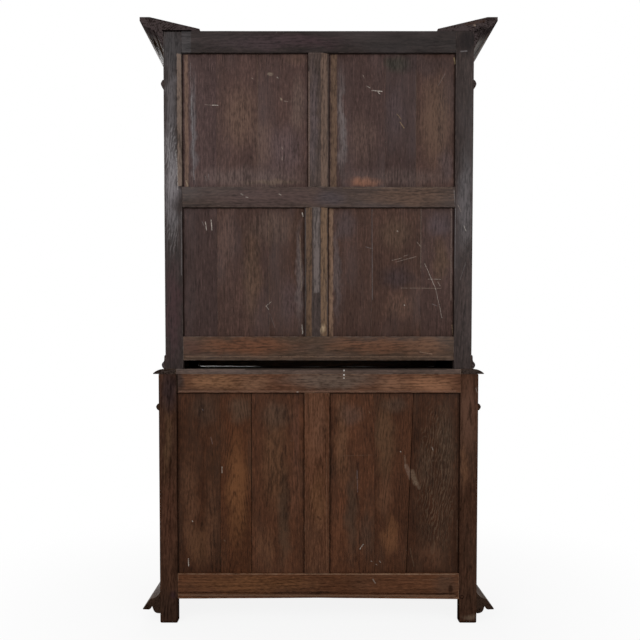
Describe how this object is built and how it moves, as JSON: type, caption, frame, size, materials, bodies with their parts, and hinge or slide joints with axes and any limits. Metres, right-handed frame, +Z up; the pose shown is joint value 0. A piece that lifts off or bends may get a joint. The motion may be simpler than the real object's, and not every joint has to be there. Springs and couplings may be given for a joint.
{
  "type": "bookcase",
  "caption": "Dark oak bookcase: an upper body with glazed doors stands on a lower body with drawers and panelled doors; flared cornice and plinth, frame-and-panel back.",
  "frame": {"origin": "on the floor, under the middle of the bookcase's outline", "axes": "+Z up, +Y out of the panelled back, -Y out of the doors, +X to the right-hand side as seen from the front"},
  "size_m": [1.422, 0.57, 2.415],
  "materials": {
    "oak_back_dark": "dark stained oak, dull",
    "oak_back_warm": "red-brown stained oak, dull",
    "oak_panel": "dark oak panel boards, dry",
    "oak_polished": "waxed dark oak",
    "oak_inside": "plain oak, unpolished",
    "door_glass": "clear old glass",
    "aged_brass": "aged",
    "key_steel": "worn"
  },
  "bodies": {
    "carcass": {"cornice": "oak_polished", "plinth": "oak_polished", "upper_frieze_moulding": "oak_polished", "upper_base_moulding": "oak_polished", "lower_frieze_moulding": "oak_polished", "upper_left_side_frame": "oak_back_dark", "upper_right_side_frame": "oak_back_dark", "lower_left_side_frame": "oak_back_dark", "lower_right_side_frame": "oak_back_dark", "upper_left_side_panel": "oak_polished", "upper_right_side_panel": "oak_polished", "lower_left_side_panel": "oak_polished", "lower_right_side_panel": "oak_polished", "upper_back_top_rail": "oak_back_dark", "upper_back_middle_rail": "oak_back_dark", "upper_back_bottom_rail": "oak_back_dark", "upper_back_top_muntin": "oak_back_dark", "upper_back_bottom_muntin": "oak_back_dark", "upper_back_panel_top_left": "oak_panel", "upper_back_panel_top_right": "oak_panel", "upper_back_panel_bottom_left": "oak_panel", "upper_back_panel_bottom_right": "oak_panel", "lower_back_top_rail": "oak_back_warm", "lower_back_bottom_rail": "oak_back_warm", "lower_back_muntin": "oak_back_warm", "lower_back_panel_left": "oak_panel", "lower_back_panel_right": "oak_panel", "upper_top_board": "oak_inside", "upper_floor_board": "oak_inside", "lower_top_board": "oak_back_warm", "lower_floor_board": "oak_inside", "upper_frieze_rail": "oak_polished", "lower_drawer_frame": "oak_polished", "upper_shelf_1": "oak_inside", "upper_shelf_2": "oak_inside", "upper_shelf_3": "oak_inside", "lower_shelf": "oak_inside", "upper_left_hinge_top": "aged_brass", "upper_left_hinge_bottom": "aged_brass", "upper_right_hinge_top": "aged_brass", "upper_right_hinge_bottom": "aged_brass", "lower_left_hinge_top": "aged_brass", "lower_left_hinge_bottom": "aged_brass", "lower_right_hinge_top": "aged_brass", "lower_right_hinge_bottom": "aged_brass"},
    "upper_left_door": {"upper_left_door_frame": "oak_polished", "upper_left_door_glass": "door_glass"},
    "upper_right_door": {"upper_right_door_frame": "oak_polished", "upper_right_door_glass": "door_glass"},
    "lower_left_door": {"lower_left_door_frame": "oak_polished", "lower_left_door_panel": "oak_polished"},
    "lower_right_door": {"lower_right_door_frame": "oak_polished", "lower_right_door_panel": "oak_polished"},
    "upper_key": {"upper_door_key": "key_steel"},
    "lower_key": {"lower_door_key": "key_steel"},
    "left_drawer_body": {"left_drawer": "oak_polished", "left_drawer_knob": "oak_polished"},
    "right_drawer_body": {"right_drawer": "oak_polished", "right_drawer_knob": "oak_polished"}
  },
  "joints": [
    {"name": "upper_left_door_swing", "type": "hinge", "parent": "carcass", "child": "upper_left_door", "pos_m": [-0.54075, -0.1378, 1.6], "axis": [0, 0, -1], "range_deg": [0, 165]},
    {"name": "upper_right_door_swing", "type": "hinge", "parent": "carcass", "child": "upper_right_door", "pos_m": [0.54075, -0.1378, 1.6], "axis": [0, 0, 1], "range_deg": [0, 165]},
    {"name": "lower_left_door_swing", "type": "hinge", "parent": "carcass", "child": "lower_left_door", "pos_m": [-0.56925, -0.2218, 0.5], "axis": [0, 0, -1], "range_deg": [0, 165]},
    {"name": "lower_right_door_swing", "type": "hinge", "parent": "carcass", "child": "lower_right_door", "pos_m": [0.56925, -0.2218, 0.5], "axis": [0, 0, 1], "range_deg": [0, 165]},
    {"name": "upper_key_turn", "type": "hinge", "parent": "upper_right_door", "child": "upper_key", "pos_m": [0.03325, -0.131, 1.606], "axis": [0, -1, 0], "range_deg": [0, 180]},
    {"name": "lower_key_turn", "type": "hinge", "parent": "lower_right_door", "child": "lower_key", "pos_m": [0.03825, -0.215, 0.5663], "axis": [0, -1, 0], "range_deg": [0, 180]},
    {"name": "left_drawer_slide", "type": "slide", "parent": "carcass", "child": "left_drawer_body", "axis": [0, -1, 0], "range_m": [0, 0.3]},
    {"name": "right_drawer_slide", "type": "slide", "parent": "carcass", "child": "right_drawer_body", "axis": [0, -1, 0], "range_m": [0, 0.3]}
  ]
}
